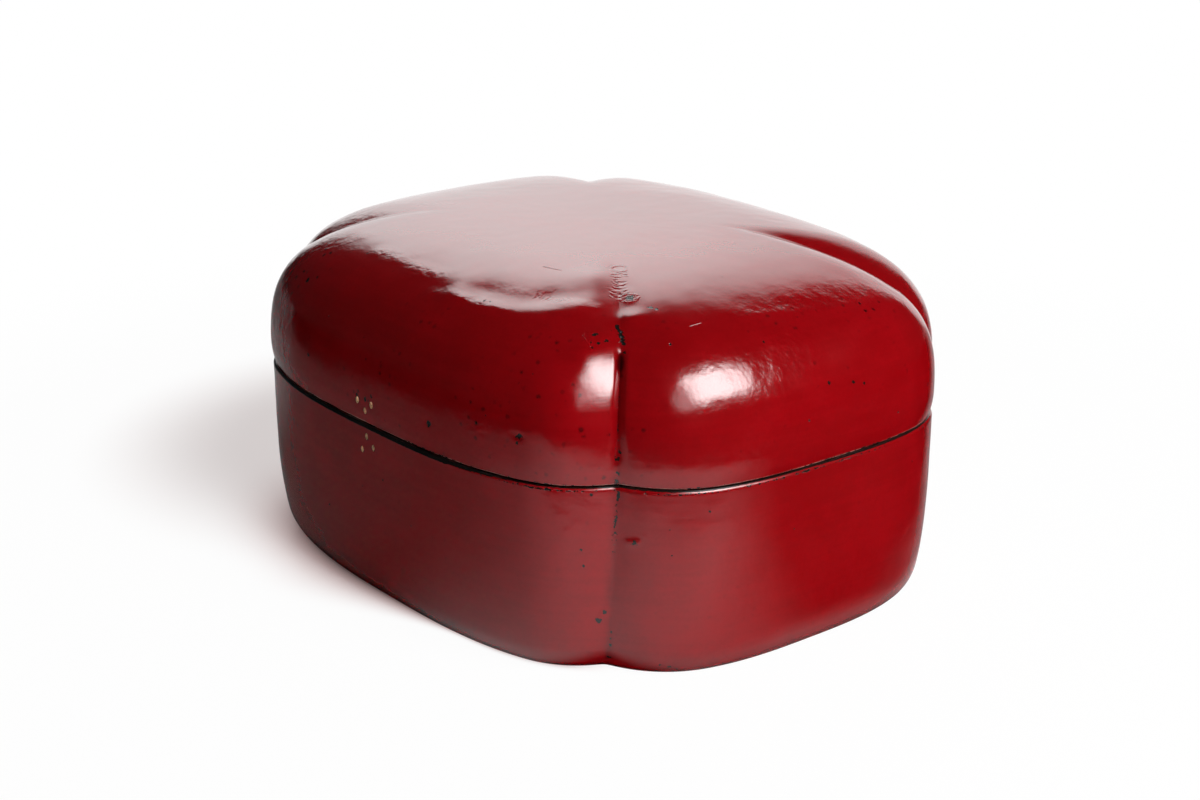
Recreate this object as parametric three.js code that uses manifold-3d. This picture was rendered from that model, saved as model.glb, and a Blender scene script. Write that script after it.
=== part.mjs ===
// Four-lobed box of lacquered wood with a lift-off lid.
//
// Millimetres, +Z up. The origin is the middle of the underside, +X runs along the length, and the
// long side that carries the six brass pin stubs faces -Y.
//
// The body is a base board, four wall staves that meet in the creases between the lobes, and four
// lip strips glued inside the staves. The lid is four staves under a hollowed crown. Staves are
// mitred to each other and lapped over the base and under the crown. The lid drops over the lip,
// rests on the body's rim, and lifts straight off.

import * as THREE from "three";
import { mergeVertices } from "three/addons/utils/BufferGeometryUtils.js";
import Module from "manifold-3d";

const wasm = await Module();
wasm.setup();

// Overall size
const LENGTH = 320;
const WIDTH = 260;
const SEAM_HEIGHT = 87;
const LID_RISE = 72.5;

// Plan: a superellipse, pinched in by a crease wherever two lobes meet
const PLAN_POWER = 2.9;
const CREASE_ANGLE = THREE.MathUtils.degToRad(35.6);
const CREASE_SPREAD = THREE.MathUtils.degToRad(14.5);
const CREASE_DEPTH = 8.5;
const CREASE_DEPTH_INSIDE = 5;
const CREASE_DEPTH_LAP = (CREASE_DEPTH + CREASE_DEPTH_INSIDE) / 2;

// Body: base board, walls that lean in a little towards the foot, and the rim
const BASE_THICKNESS = 14;
const FOOT_TUCK = 7;
const BODY_TAPER = 6.5;
const TAPER_POWER = 3.8;
const LID_OVERHANG = 0.4;
const RIM_ROUND = 3;

// Lid: a pillow whose sides rise almost upright and turn over into a nearly flat crown
const SIDE_POWER = 3.5;
const CROWN_POWER = 3.4;
const LID_EDGE_TUCK = 2.4;
const LID_EDGE_ROUND = 11;
const LID_STAVE_HEIGHT = 28;
const CROWN_THICKNESS = 16;
const CREASE_START = 0.45;
const CREASE_FULL = 0.9;

// Walls, and the lip that finds the lid
const WALL = 12;
const LIP_CLEARANCE = 1;
const LIP_THICKNESS = 4.5;
const LIP_ABOVE_RIM = 11;
const LIP_BELOW_RIM = 32;
const LIP_EDGE = 1.2;

// Brass pins: the cut shanks of a clasp, three in the lid and three in the body. Each place is the
// distance along the front from its middle, and the height over the seam
const PIN_WIDTH = 2;
const PIN_HEIGHT = 3.2;
const PIN_LENGTH = 8;
const PIN_SUNK = 0.2;
const PIN_HOLE_MOUTH = 2;
const PIN_SIDE = "front";
const LID_PINS = { left: [-5.5, 10.3], right: [5.5, 10.7], bottom: [0, 6.7] };
const BODY_PINS = { top: [0.5, -5.3], left: [-3.3, -12.2], right: [5.6, -9.2] };

// Joints between neighbouring pieces are this wide
const GLUE_GAP = 0.3;

// Half-lap joints: a step in the thickness of the wall
const LAP_HEIGHT = 4;
const BODY_LAP_INSET = 8;
const LID_LAP_INSET = 7;

// Facets
const LONG_LOBE_STEPS = 24;
const SHORT_LOBE_STEPS = 18;
const CREASE_CROWDING = 0.55;
const CROWN_RINGS = 11;
const CEILING_RINGS = 7;
const WALL_RINGS = 4;
const FOOT_RINGS = 5;
const EDGE_RINGS = 3;
const PIN_ARC_STEPS = 6;
const WELD = 1e-4;

const halfLength = LENGTH / 2;
const halfWidth = WIDTH / 2;
const lipOuterInset = WALL + LIP_CLEARANCE;
const bodyInnerInset = lipOuterInset - GLUE_GAP;

const redLacquer = new THREE.MeshStandardMaterial({ color: 0x8a0a10, roughness: 0.2 });
const blackLacquer = new THREE.MeshStandardMaterial({ color: 0x17100e, roughness: 0.35 });
const brass = new THREE.MeshStandardMaterial({ color: 0xb8935a, roughness: 0.4, metalness: 1 });

// Plan radius at an angle, for the outline that lies `inset` inside the widest one.
function planRadius(angle, inset) {
  const x = Math.abs(Math.cos(angle)) / (halfLength - inset);
  const y = Math.abs(Math.sin(angle)) / (halfWidth - inset);
  return (x ** PLAN_POWER + y ** PLAN_POWER) ** (-1 / PLAN_POWER);
}

// How strongly a crease pinches the outline at an angle: 1 in the crease, 0 out on the lobe.
function pinchAt(angle) {
  const fromLength = Math.atan2(Math.abs(Math.sin(angle)), Math.abs(Math.cos(angle)));
  const distance = Math.abs(fromLength - CREASE_ANGLE) / CREASE_SPREAD;
  return (1 - Math.min(1, distance)) ** 2;
}

// A point of a profile swung to an angle. The crease pushes it in along the surface's own normal,
// which stands at `tilt` above the horizontal.
function swing(angle, { scale = 1, inset = 0, z, crease = 0, tilt = 0 }) {
  const push = crease * pinchAt(angle);
  const radius = scale * planRadius(angle, inset) - push * Math.cos(tilt);
  const height = z - push * Math.sin(tilt);
  return new THREE.Vector3(radius * Math.cos(angle), radius * Math.sin(angle), height);
}

// Angles across one lobe, crowded towards the creases at its two ends.
function lobeAngles(from, to, steps) {
  return Array.from({ length: steps + 1 }, (_, i) => {
    const even = i / steps;
    const eased = (1 - Math.cos(Math.PI * even)) / 2;
    return THREE.MathUtils.lerp(from, to, THREE.MathUtils.lerp(even, eased, CREASE_CROWDING));
  });
}

// The four lobes, named by the side that they face, as the angles between two creases.
const lobes = {
  right: [-CREASE_ANGLE, CREASE_ANGLE, SHORT_LOBE_STEPS],
  back: [CREASE_ANGLE, Math.PI - CREASE_ANGLE, LONG_LOBE_STEPS],
  left: [Math.PI - CREASE_ANGLE, Math.PI + CREASE_ANGLE, SHORT_LOBE_STEPS],
  front: [Math.PI + CREASE_ANGLE, 2 * Math.PI - CREASE_ANGLE, LONG_LOBE_STEPS],
};
const roundAngles = Object.values(lobes).flatMap((lobe) => lobeAngles(...lobe).slice(0, -1));

function geometryOf(points, triangles) {
  const geometry = new THREE.BufferGeometry().setFromPoints(points);
  geometry.setIndex(triangles);
  geometry.computeVertexNormals();
  return geometry;
}

// Skins the band between two closed rows of points that start at the given vertex numbers.
function skinBand(triangles, first, second, count) {
  for (let i = 0; i < count; i++) {
    const next = (i + 1) % count;
    triangles.push(first + i, second + i, second + next, first + i, second + next, first + next);
  }
}

// A stave or strip: a closed profile swept across one lobe, with a mitred face in each crease.
function sweepLobe(profile, [from, to, steps]) {
  const mitre = GLUE_GAP / 2 / planRadius(CREASE_ANGLE, lipOuterInset);
  const angles = lobeAngles(from + mitre, to - mitre, steps);
  const points = angles.flatMap((angle) => profile.map((spot) => swing(angle, spot)));
  const triangles = [];
  for (let i = 0; i < angles.length - 1; i++) {
    skinBand(triangles, i * profile.length, (i + 1) * profile.length, profile.length);
  }
  const firstAngle = angles[0];
  const section = points.slice(0, profile.length).map(
    ({ x, y, z }) => new THREE.Vector2(x * Math.cos(firstAngle) + y * Math.sin(firstAngle), z),
  );
  const lastRow = (angles.length - 1) * profile.length;
  for (const [a, b, c] of THREE.ShapeUtils.triangulateShape(section, [])) {
    triangles.push(a, b, c, lastRow + c, lastRow + b, lastRow + a);
  }
  return geometryOf(points, triangles);
}

// A whole round piece: rings that run from the middle of the underside out and over to the middle
// of the top.
function sweepRound(profile, undersideHeight, topHeight) {
  const count = roundAngles.length;
  const points = profile.flatMap((spot) => roundAngles.map((angle) => swing(angle, spot)));
  const triangles = [];
  for (let i = 0; i < profile.length - 1; i++) {
    skinBand(triangles, (i + 1) * count, i * count, count);
  }
  const underside = points.push(new THREE.Vector3(0, 0, undersideHeight)) - 1;
  const top = points.push(new THREE.Vector3(0, 0, topHeight)) - 1;
  const lastRing = (profile.length - 1) * count;
  for (let i = 0; i < count; i++) {
    const next = (i + 1) % count;
    triangles.push(underside, next, i, top, lastRing + i, lastRing + next);
  }
  return geometryOf(points, triangles);
}

// Numbers from 0 to 1 in even steps, and the same as angles from 0 to a quarter turn.
function shares(steps) {
  return Array.from({ length: steps + 1 }, (_, i) => i / steps);
}

function quarterTurns(steps) {
  return shares(steps).map((share) => (share * Math.PI) / 2);
}

// Inset of the body's outer face at a height: the walls lean in towards the rounded foot.
function bodyInset(z) {
  const lean = BODY_TAPER * (1 - z / SEAM_HEIGHT) ** TAPER_POWER;
  const below = Math.max(0, 1 - z / BASE_THICKNESS);
  return LID_OVERHANG + lean + FOOT_TUCK * (1 - Math.sqrt(1 - below ** 2));
}

// The lid's outer face at a height over the seam: it swells out from a rounded lower edge, stands
// nearly upright, then turns over into the crown.
function lidFace(z) {
  const share = z / LID_RISE;
  const scale = (1 - share ** SIDE_POWER) ** (1 / CROWN_POWER);
  const edge = Math.max(0, 1 - z / LID_EDGE_ROUND);
  return { scale, inset: LID_EDGE_TUCK * edge ** 2, z, crease: CREASE_DEPTH };
}

// A point of a pillow surface at a share of the way out from the middle. The pillow stands on the
// height `foot`; its crease fades out towards the middle.
function pillow(share, { foot, rise, inset, deepest }) {
  const left = 1 - share ** CROWN_POWER;
  const bend = 1 / SIDE_POWER;
  const slope = rise * bend * left ** (bend - 1) * CROWN_POWER * share ** (CROWN_POWER - 1);
  return {
    scale: share,
    inset,
    z: foot + rise * left ** bend,
    crease: deepest * THREE.MathUtils.smoothstep(share, CREASE_START, CREASE_FULL),
    tilt: Math.atan2(halfWidth - inset, slope),
  };
}

// The base's rounded edge rises to the lap that the wall staves stand on.
function baseBoard() {
  const heights = quarterTurns(FOOT_RINGS).map((turn) => BASE_THICKNESS * (1 - Math.cos(turn)));
  const panel = { inset: BODY_LAP_INSET + GLUE_GAP, crease: CREASE_DEPTH_LAP };
  return sweepRound(
    [
      ...heights.map((z) => ({ z, inset: bodyInset(z), crease: CREASE_DEPTH })),
      { z: BASE_THICKNESS, ...panel },
      { z: BASE_THICKNESS + LAP_HEIGHT, ...panel },
    ],
    0,
    BASE_THICKNESS + LAP_HEIGHT,
  );
}

function wallProfile() {
  const foot = BASE_THICKNESS + GLUE_GAP;
  const shoulder = SEAM_HEIGHT - RIM_ROUND;
  const rings = shares(WALL_RINGS).slice(0, -1);
  const outside = rings.map((share) => THREE.MathUtils.lerp(foot, shoulder, share));
  const rim = quarterTurns(EDGE_RINGS).map((turn) => ({
    z: shoulder + RIM_ROUND * Math.sin(turn),
    inset: bodyInset(shoulder) + RIM_ROUND * (1 - Math.cos(turn)),
    crease: CREASE_DEPTH,
  }));
  return [
    ...outside.map((z) => ({ z, inset: bodyInset(z), crease: CREASE_DEPTH })),
    ...rim,
    { z: SEAM_HEIGHT, inset: bodyInnerInset, crease: CREASE_DEPTH_INSIDE },
    { z: foot + LAP_HEIGHT, inset: bodyInnerInset, crease: CREASE_DEPTH_INSIDE },
    { z: foot + LAP_HEIGHT, inset: BODY_LAP_INSET, crease: CREASE_DEPTH_LAP },
    { z: foot, inset: BODY_LAP_INSET, crease: CREASE_DEPTH_LAP },
  ];
}

// A flat strip with eased edges, except for the lower one that is hidden against the wall.
function lipProfile() {
  const top = SEAM_HEIGHT + LIP_ABOVE_RIM;
  const bottom = SEAM_HEIGHT - LIP_BELOW_RIM;
  const innerInset = lipOuterInset + LIP_THICKNESS;
  return [
    [bottom, lipOuterInset],
    [top - LIP_EDGE, lipOuterInset],
    [top, lipOuterInset + LIP_EDGE],
    [top, innerInset - LIP_EDGE],
    [top - LIP_EDGE, innerInset],
    [bottom + LIP_EDGE, innerInset],
    [bottom, innerInset - LIP_EDGE],
  ].map(([z, inset]) => ({ z, inset, crease: CREASE_DEPTH_INSIDE }));
}

// Heights in the lid count from the seam.
function lidWallProfile() {
  const edge = shares(EDGE_RINGS).map((share) =>
    THREE.MathUtils.lerp(GLUE_GAP, LID_EDGE_ROUND, share ** 2),
  );
  const upright = [(LID_EDGE_ROUND + LID_STAVE_HEIGHT) / 2, LID_STAVE_HEIGHT];
  return [
    ...[...edge, ...upright].map(lidFace),
    { z: LID_STAVE_HEIGHT, inset: LID_LAP_INSET, crease: CREASE_DEPTH_LAP },
    { z: LID_STAVE_HEIGHT - LAP_HEIGHT, inset: LID_LAP_INSET, crease: CREASE_DEPTH_LAP },
    { z: LID_STAVE_HEIGHT - LAP_HEIGHT, inset: WALL, crease: CREASE_DEPTH_INSIDE },
    { z: GLUE_GAP, inset: WALL, crease: CREASE_DEPTH_INSIDE },
  ];
}

// The carved top of the lid: a pillow outside, where the four creases run up and fade out, and a
// hollow underneath that carries on from the staves' inner faces.
function lidCrown() {
  const joint = LID_STAVE_HEIGHT + GLUE_GAP;
  const lap = joint - LAP_HEIGHT;
  const ceiling = LID_RISE - CROWN_THICKNESS;
  const hollow = { foot: lap, rise: ceiling - lap, inset: WALL, deepest: CREASE_DEPTH_INSIDE };
  const outside = { foot: 0, rise: LID_RISE, inset: 0, deepest: CREASE_DEPTH };
  const tongue = { inset: LID_LAP_INSET + GLUE_GAP, crease: CREASE_DEPTH_LAP };
  const innerShares = quarterTurns(CEILING_RINGS).slice(1).map(Math.sin);
  const outerShares = quarterTurns(CROWN_RINGS).slice(1, -2).map(Math.sin).reverse();
  return sweepRound(
    [
      ...innerShares.map((share) => pillow(share, hollow)),
      { z: lap, ...tongue },
      { z: joint, ...tongue },
      lidFace(joint),
      ...outerShares.map((share) => pillow(share, outside)),
    ],
    ceiling,
    LID_RISE,
  );
}

// A lens-shaped pin that runs in from the front face along +Y, with its cut end at the origin.
function pinGeometry(width, height, length) {
  const bulge = width / 2;
  const radius = (height ** 2 / 4 + bulge ** 2) / (2 * bulge);
  const half = Math.asin(height / 2 / radius);
  const lens = new THREE.Shape()
    .absarc(bulge - radius, 0, radius, -half, half)
    .absarc(radius - bulge, 0, radius, Math.PI - half, Math.PI + half);
  const settings = { depth: length, bevelEnabled: false, curveSegments: PIN_ARC_STEPS };
  return new THREE.ExtrudeGeometry(lens, settings).rotateX(-Math.PI / 2);
}

function solidOf(geometry) {
  const bare = geometry.clone();
  bare.deleteAttribute("normal");
  bare.deleteAttribute("uv");
  const merged = mergeVertices(bare, WELD);
  return new wasm.Manifold(
    new wasm.Mesh({
      numProp: 3,
      vertProperties: merged.attributes.position.array,
      triVerts: new Uint32Array(merged.index.array),
    }),
  );
}

function geometryOfSolid(solid) {
  const { vertProperties, triVerts } = solid.getMesh();
  const geometry = new THREE.BufferGeometry();
  geometry.setAttribute("position", new THREE.BufferAttribute(vertProperties, 3));
  geometry.setIndex(new THREE.BufferAttribute(triVerts, 1));
  geometry.computeVertexNormals();
  return geometry;
}

// Drills a stave for the pins: each hole is the pin's own shape with a gap all round.
function drillForPins(plain, places) {
  const mouth = PIN_SUNK + PIN_HOLE_MOUTH;
  const hole = pinGeometry(
    PIN_WIDTH + 2 * GLUE_GAP,
    PIN_HEIGHT + 2 * GLUE_GAP,
    PIN_LENGTH + GLUE_GAP + mouth,
  );
  return geometryOfSolid(
    places.reduce(
      (solid, { x, y, z }) => solid.subtract(solidOf(hole.clone().translate(x, y - mouth, z))),
      solidOf(plain),
    ),
  );
}

// Where the cut end of each pin sits, given the seam's height and the inset of the face there.
function pinPlaces(pins, seam, insetAt) {
  return Object.entries(pins).map(([name, [x, rise]]) => {
    const z = seam + rise;
    return { name, place: new THREE.Vector3(x, insetAt(z) + PIN_SUNK - halfWidth, z) };
  });
}

// One stave, drilled if it is on the side that carries the pins.
function stave(profile, side, pins) {
  const plain = sweepLobe(profile, lobes[side]);
  return side === PIN_SIDE ? drillForPins(plain, pins.map(({ place }) => place)) : plain;
}

function addPiece(group, name, geometry, material) {
  const mesh = new THREE.Mesh(geometry, material);
  mesh.name = name;
  group.add(mesh);
  return mesh;
}

function addPins(group, places, prefix) {
  for (const { name, place } of places) {
    const shape = pinGeometry(PIN_WIDTH, PIN_HEIGHT, PIN_LENGTH);
    addPiece(group, `${prefix}_${name}`, shape, brass).position.copy(place);
  }
}

function buildBody() {
  const body = new THREE.Group();
  const pins = pinPlaces(BODY_PINS, SEAM_HEIGHT, bodyInset);
  addPiece(body, "base_board", baseBoard(), redLacquer);
  for (const side of Object.keys(lobes)) {
    addPiece(body, `wall_stave_${side}`, stave(wallProfile(), side, pins), redLacquer);
    addPiece(body, `lip_strip_${side}`, sweepLobe(lipProfile(), lobes[side]), blackLacquer);
  }
  addPins(body, pins, "body_pin");
  return body;
}

function buildLid() {
  const lid = new THREE.Group();
  lid.position.z = SEAM_HEIGHT;
  const pins = pinPlaces(LID_PINS, 0, (z) => lidFace(z).inset);
  for (const side of Object.keys(lobes)) {
    addPiece(lid, `lid_stave_${side}`, stave(lidWallProfile(), side, pins), redLacquer);
  }
  addPiece(lid, "lid_crown", lidCrown(), redLacquer);
  addPins(lid, pins, "lid_pin");
  return lid;
}

const box = new THREE.Group();
box.name = "lacquer_box";
box.add(buildBody(), buildLid());

export default box;
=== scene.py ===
"""Lobed box in red lacquer with a lift-off lid, laid out as a Blender add-on.

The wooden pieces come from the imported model. This file gives them their lacquer: a red coat over
the outside of the body and the lid, a black lining inside both, the lip strips and the pin stubs.
Everything is in metres in the model's own frame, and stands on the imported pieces' own boxes.
"""

import math
from typing import NamedTuple

import bpy
import numpy as np
from bpy.props import FloatProperty, FloatVectorProperty, IntProperty, PointerProperty
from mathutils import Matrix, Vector, noise


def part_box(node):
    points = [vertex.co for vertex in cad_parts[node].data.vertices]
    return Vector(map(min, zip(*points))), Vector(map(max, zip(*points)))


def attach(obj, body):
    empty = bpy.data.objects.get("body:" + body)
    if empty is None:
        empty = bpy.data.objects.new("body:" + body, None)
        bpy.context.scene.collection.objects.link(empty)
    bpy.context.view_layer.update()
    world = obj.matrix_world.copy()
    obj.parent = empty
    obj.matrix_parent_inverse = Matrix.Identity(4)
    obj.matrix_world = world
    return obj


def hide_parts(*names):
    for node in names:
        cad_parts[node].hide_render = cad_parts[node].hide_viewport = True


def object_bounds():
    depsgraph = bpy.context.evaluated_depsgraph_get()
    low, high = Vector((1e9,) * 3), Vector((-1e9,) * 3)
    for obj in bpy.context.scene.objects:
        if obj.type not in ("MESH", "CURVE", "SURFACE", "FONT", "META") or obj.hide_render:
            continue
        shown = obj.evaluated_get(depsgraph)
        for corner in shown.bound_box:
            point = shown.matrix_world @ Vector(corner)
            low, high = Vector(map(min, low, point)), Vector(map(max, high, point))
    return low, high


bl_info = {
    "name": "Lacquer Box",
    "version": (1, 0, 0),
    "blender": (4, 5, 0),
    "location": "View3D > Sidebar > Lacquer Box",
    "description": "Builds a lobed box in worn red lacquer with a lift-off lid",
    "category": "Add Mesh",
}

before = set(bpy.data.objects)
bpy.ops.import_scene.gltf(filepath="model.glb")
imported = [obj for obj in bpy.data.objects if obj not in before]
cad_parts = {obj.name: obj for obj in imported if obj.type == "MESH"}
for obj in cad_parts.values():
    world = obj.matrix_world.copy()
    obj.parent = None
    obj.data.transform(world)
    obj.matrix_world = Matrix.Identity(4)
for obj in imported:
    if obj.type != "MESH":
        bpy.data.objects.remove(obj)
CAD_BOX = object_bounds()
MM = 0.001
SIDES = ("right", "back", "left", "front")
PIN_GROUP = 9 * MM

BASE_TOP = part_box("base_board")[1].z
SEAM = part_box("wall_stave_front")[1].z
LIP_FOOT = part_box("lip_strip_front")[0].z
LIP_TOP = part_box("lip_strip_front")[1].z
CROWN_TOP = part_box("lid_crown")[1].z


class BoxForm(bpy.types.PropertyGroup):
    """Sizes of the box."""

    half_length: FloatProperty(
        name="Half length", description="From the middle to the end of a short lobe",
        default=CAD_BOX[1].x, unit="LENGTH")
    half_width: FloatProperty(
        name="Half width", description="From the middle to the face of a long lobe",
        default=CAD_BOX[1].y, unit="LENGTH")
    seam: FloatProperty(
        name="Seam height", description="Height of the body's rim", default=SEAM, unit="LENGTH")
    lid_rise: FloatProperty(
        name="Lid rise", description="From the seam to the middle of the crown",
        default=CROWN_TOP - SEAM, unit="LENGTH")
    plan_power: FloatProperty(
        name="Plan power", description="How square the outline is: 2 is an ellipse", default=2.9)
    crease_angle: FloatProperty(
        name="Crease angle", description="Direction of a crease from the length axis",
        default=math.radians(35.6), subtype="ANGLE")
    crease_spread: FloatProperty(
        name="Crease spread", description="How far a crease reaches to each side",
        default=math.radians(14.5), subtype="ANGLE")
    crease_depth: FloatProperty(
        name="Crease depth", description="Depth of a crease outside", default=8.5 * MM, unit="LENGTH")
    crease_head: FloatProperty(
        name="Crease head", description="Width of a crease at its head, as a share of the rest",
        default=0.42, subtype="FACTOR")
    notch: FloatProperty(
        name="Notch", description="Further depth of the cut at the bottom of a crease, as a share",
        default=0.18, subtype="FACTOR")
    notch_spread: FloatProperty(
        name="Notch spread", description="How far that cut reaches to each side",
        default=math.radians(1.1), subtype="ANGLE")
    crease_ease: FloatProperty(
        name="Crease ease", description="How far the bottom of an uncut crease is rounded",
        default=math.radians(0.7), subtype="ANGLE")
    inner_crease: FloatProperty(
        name="Inner crease depth", description="Depth of a crease inside", default=5 * MM, unit="LENGTH")
    wall: FloatProperty(
        name="Lid wall", description="From the widest outline to the lid's inner face",
        default=12 * MM, unit="LENGTH")
    lip_gap: FloatProperty(
        name="Lip gap", description="Room between the lip and the lid", default=1 * MM, unit="LENGTH")
    lip: FloatProperty(
        name="Lip thickness", description="Thickness of a lip strip", default=4.5 * MM, unit="LENGTH")
    ceiling: FloatProperty(
        name="Crown thickness", description="Wood left over the lid's hollow",
        default=16 * MM, unit="LENGTH")
    stations: IntProperty(
        name="Stations", description="Points around the outside of the box", default=700, min=80)


class HandWork(bpy.types.PropertyGroup):
    """How far the hand-laid surface strays from the true form."""

    swell: FloatProperty(
        name="Swell", description="Height of the broad waves", default=0.30 * MM, unit="LENGTH")
    swell_size: FloatProperty(
        name="Swell size", description="Length of the broad waves", default=46 * MM, unit="LENGTH")
    lump: FloatProperty(
        name="Lump", description="Height of the small lumps", default=0.1 * MM, unit="LENGTH")
    lump_size: FloatProperty(
        name="Lump size", description="Length of the small lumps", default=13 * MM, unit="LENGTH")


class Finish(bpy.types.PropertyGroup):
    """Colours of the lacquers and the brass."""

    red: FloatVectorProperty(
        name="Red", description="Red lacquer in the clear", default=(0.262, 0.0010, 0.0032),
        subtype="COLOR", size=3)
    deep_red: FloatVectorProperty(
        name="Deep red", description="Red lacquer where it is thick", default=(0.222, 0.0007, 0.0022),
        subtype="COLOR", size=3)
    # dark red of dried lacquer for the flecks, and also the colour of the painted shade in the creases and
    # along the foot
    dried_and_shade_red: FloatVectorProperty(
        name="Dried red", description="Red lacquer that has gone dark", default=(0.035, 0.0008, 0.0012),
        subtype="COLOR", size=3)
    # black is also the colour of the painted shade band at the seam
    black: FloatVectorProperty(
        name="Black", description="Black lacquer and undercoat", default=(0.008, 0.006, 0.005),
        subtype="COLOR", size=3)
    brass: FloatVectorProperty(
        name="Brass", description="Cut brass", default=(0.88, 0.47, 0.24), subtype="COLOR", size=3)
    # painted highlight: the pale colour of a line along the lid's lower edge
    rubbed: FloatVectorProperty(
        name="Rubbed", description="Lacquer rubbed pale along an edge", default=(0.5, 0.2, 0.17),
        subtype="COLOR", size=3)


class Studio(bpy.types.PropertyGroup):
    """Camera and light."""

    camera_place: FloatVectorProperty(
        name="Camera", description="Place of the camera", default=(0.7464, -0.5980, 0.4066),
        subtype="TRANSLATION", size=3)
    azimuth: FloatProperty(
        name="Azimuth", description="Direction that the camera looks from",
        default=math.radians(51.19), subtype="ANGLE")
    elevation: FloatProperty(
        name="Elevation", description="Height angle that the camera looks from",
        default=math.radians(19.39), subtype="ANGLE")
    lens: FloatProperty(
        name="Lens", description="Focal length in millimetres on a 36 mm sensor", default=63.73)
    key_level: FloatProperty(
        name="Key level", description="How strongly the key softbox lights the box", default=11.4)
    back_level: FloatProperty(
        name="Back level", description="How strongly the card behind lights the box", default=2.1)
    gleam: FloatProperty(
        name="Gleam", description="Brightness of the key softbox as gloss shows it", default=17.5)
    spill: FloatProperty(
        name="Spill", description="Brightness of the wide cloth around it as gloss shows it", default=4.0)


def plan_radius(form, angle, inset):
    """Radius of the outline that lies `inset` inside the widest one."""
    x = np.abs(np.cos(angle)) / (form.half_length - inset)
    y = np.abs(np.sin(angle)) / (form.half_width - inset)
    return (x**form.plan_power + y**form.plan_power) ** (-1 / form.plan_power)


def from_crease(form, angle):
    """Angle to the nearest crease."""
    from_length = np.arctan2(np.abs(np.sin(angle)), np.abs(np.cos(angle)))
    return np.abs(from_length - form.crease_angle)


def pinch(form, angle, fade=1.0, cut=1.0):
    """How strongly a crease pinches the outline: 1 in the crease, 0 out on the lobe."""
    ease = form.crease_ease * (1 - cut)
    away = np.hypot(from_crease(form, angle), ease) - ease
    spread = form.crease_spread * (form.crease_head + (1 - form.crease_head) * fade)
    notch = form.notch * fade * cut * (1 - np.minimum(1, away / form.notch_spread))
    return (1 - np.minimum(1, away / spread)) ** 2 + notch


def smooth_step(value, low, high):
    share = np.clip((value - low) / (high - low), 0, 1)
    return share * share * (3 - 2 * share)


def bell(away, width, power=2):
    """1 in the middle, falling to next to nothing at twice the width."""
    return np.exp(-((away / width) ** power))


class Profile(NamedTuple):
    """Points of a section, each swung round the box. Creases push a point in along its tilt."""

    scale: np.ndarray
    inset: np.ndarray
    z: np.ndarray
    crease: np.ndarray
    tilt: np.ndarray


def stretch(z, inset=0.0, crease=0.0, scale=1.0, tilt=0.0):
    columns = np.broadcast_arrays(*(np.asarray(v, float) for v in (scale, inset, z, crease, tilt)))
    return Profile(*(np.atleast_1d(column) for column in columns))


def join(*stretches):
    return Profile(*(np.concatenate(column) for column in zip(*stretches)))


def swing(form, profile, angles, turn=0.0, fade=1.0, sink=1.0, cut=1.0):
    """Rings of points: the profile at every angle. `turn` carries the creases round a little."""
    turned = angles[None, :] + turn
    column = Profile(*(values[:, None] for values in profile))
    push = column.crease * fade * pinch(form, angles[None, :], fade, cut)
    radius = column.scale * plan_radius(form, turned, column.inset) - push * np.cos(column.tilt)
    height = column.z - push * np.sin(column.tilt) * sink
    return np.stack(np.broadcast_arrays(radius * np.cos(turned), radius * np.sin(turned), height), axis=-1)


class Crease(NamedTuple):
    """One of the four creases: its corner, its lean, where on the crown it fades and how far it sinks."""

    corner: tuple
    foot_lean: float
    crown_lean: float
    start: float
    full: float
    sink: float


CREASES = (
    Crease((1, -1), math.radians(-1.6), math.radians(2.4), 0.38, 0.96, 0.5),
    Crease((1, 1), math.radians(0.6), math.radians(3.3), 0.34, 0.86, 0.9),
    Crease((-1, 1), math.radians(-0.7), math.radians(-1.0), 0.42, 0.86, 0.8),
    Crease((-1, -1), math.radians(0.8), math.radians(-1.0), 0.40, 0.88, 0.45),
)


def crease_turn(form, angles, z):
    """How far each crease strays to the side at each height."""
    turn = np.zeros((len(z), len(angles)))
    below = np.clip(1 - z / form.seam, 0, 1)
    above = np.clip((z - form.seam) / form.lid_rise, 0, 1) ** 3
    for crease in CREASES:
        x, y = crease.corner
        middle = math.atan2(y * math.sin(form.crease_angle), x * math.cos(form.crease_angle))
        away = (angles - middle + np.pi) % (2 * np.pi) - np.pi
        lean = crease.foot_lean * below + crease.crown_lean * above
        turn += lean[:, None] * bell(away, form.crease_spread)[None, :]
    return turn


def crown_fade(share, angles):
    """How far each crease has opened at a share of the way out over the crown."""
    start, full = by_corner(angles, "start"), by_corner(angles, "full")
    return smooth_step(share[:, None], start[None, :], full[None, :])


def by_corner(angles, quality):
    """One of the creases' own values at each angle, taken from the crease of that corner."""
    right, front = np.cos(angles) > 0, np.sin(angles) < 0
    found = np.zeros(len(angles))
    for crease in CREASES:
        here = (right == (crease.corner[0] > 0)) & (front == (crease.corner[1] < 0))
        found[here] = getattr(crease, quality)
    return found


def lobe_ends(form, side):
    """The creases at the two ends of a lobe, as angles."""
    middle = SIDES.index(side) * math.pi / 2
    half = form.crease_angle if side in ("right", "left") else math.pi / 2 - form.crease_angle
    return middle - half, middle + half


def spaced(values, weights, count):
    """Values spread so that they lie closer where the weight is high."""
    run = np.concatenate([[0], np.cumsum((weights[1:] + weights[:-1]) / 2 * np.abs(np.diff(values)))])
    return np.interp(np.linspace(0, run[-1], count), run, values)


def near_crease(form, angles, degrees):
    """1 in the creases, falling off to their sides over a width in degrees."""
    return bell(from_crease(form, angles), math.radians(degrees))[None, :]


def crease_columns(form, angles):
    """Which of the angles lie in the creases."""
    return np.flatnonzero(from_crease(form, angles) < 1e-6)


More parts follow.
